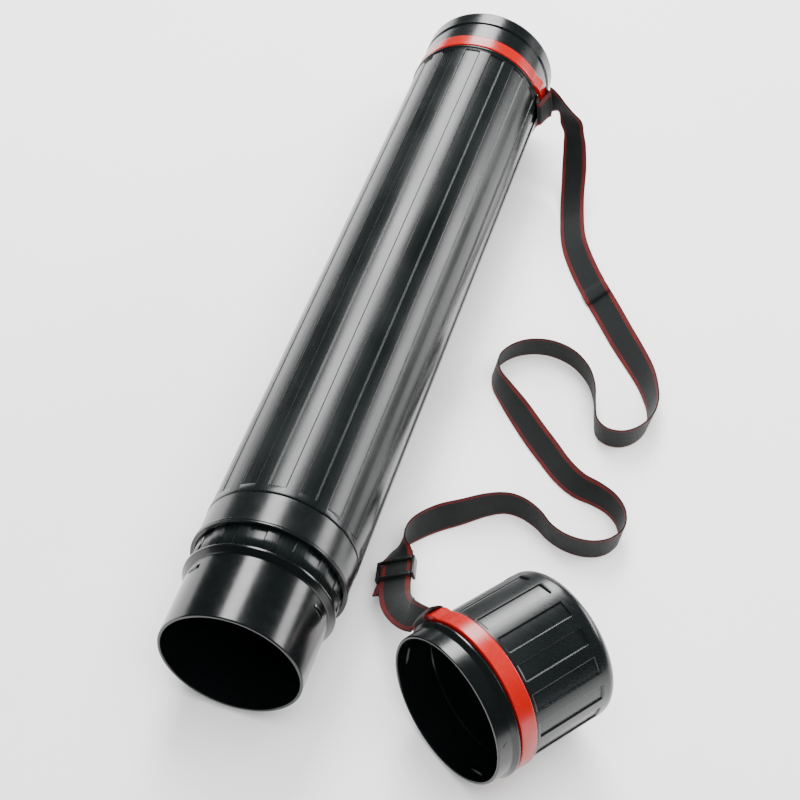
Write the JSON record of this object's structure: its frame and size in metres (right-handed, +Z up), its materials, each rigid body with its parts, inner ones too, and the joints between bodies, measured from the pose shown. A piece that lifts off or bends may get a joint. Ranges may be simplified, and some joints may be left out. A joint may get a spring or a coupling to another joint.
{
  "type": "portfolio case",
  "caption": "Telescopic ribbed drawing tube for rolled artwork, with a separate lid, two swivelling strap rings and a woven carrying strap with a slider.",
  "frame": {"origin": "middle of the whole object's footprint, strap left out, on the surface it lies on", "axes": "+Y along the tube, from its mouth to its closed base; +Z up; the lid lies on the +X side of the mouth"},
  "size_m": [0.3243, 0.7239, 0.124],
  "materials": {
    "tube_black": "glossy moulded",
    "neck_black": "high gloss",
    "ring_red": "glossy moulded",
    "guide_grey": "matt",
    "buckle_black": "satin",
    "webbing": "woven"
  },
  "bodies": {
    "casing": {"outer_tube": "tube_black", "base_cap": "tube_black", "strap_upper": "webbing", "strap_lower": "webbing"},
    "base_ring": {"base_strap_ring": "ring_red", "base_end_wrap": "webbing"},
    "collar": {"lock_collar": "tube_black", "clamp_ring": "guide_grey"},
    "inner": {"inner_tube": "tube_black", "guide_ring": "guide_grey", "neck": "neck_black"},
    "lid_ring": {"lid_strap_ring": "ring_red", "lid_end_wrap": "webbing", "strap_end_loop": "webbing"},
    "lid": {"lid_shell": "tube_black", "lid_liner": "neck_black"},
    "slider": {"slider_buckle": "buckle_black"}
  },
  "joints": [
    {"name": "inner_tube_slide", "type": "slide", "parent": "casing", "child": "inner", "axis": [0, -1, 0], "range_m": [-0.017, 0.48]},
    {"name": "collar_twist", "type": "hinge", "parent": "casing", "child": "collar", "pos_m": [-0.0987, -0.25, 0.062], "axis": [0, -1, 0], "range_deg": [0, 15]},
    {"name": "base_ring_swivel", "type": "hinge", "parent": "casing", "child": "base_ring", "pos_m": [-0.0987, 0.316, 0.062], "axis": [0, -1, 0], "range_deg": [-20, 30]},
    {"name": "lid_slide", "type": "slide", "parent": "casing", "child": "lid_ring", "axis": [0.808, -0.5892, 0], "range_m": [0, 0.06]},
    {"name": "lid_spin", "type": "hinge", "parent": "lid_ring", "child": "lid", "pos_m": [0.0703, -0.3069, 0.062], "axis": [0.5892, 0.808, 0], "continuous": true},
    {"name": "slider_slide", "type": "slide", "parent": "lid_ring", "child": "slider", "axis": [0.1746, -0.9541, 0.2432], "range_m": [-0.005, 0.005]}
  ]
}
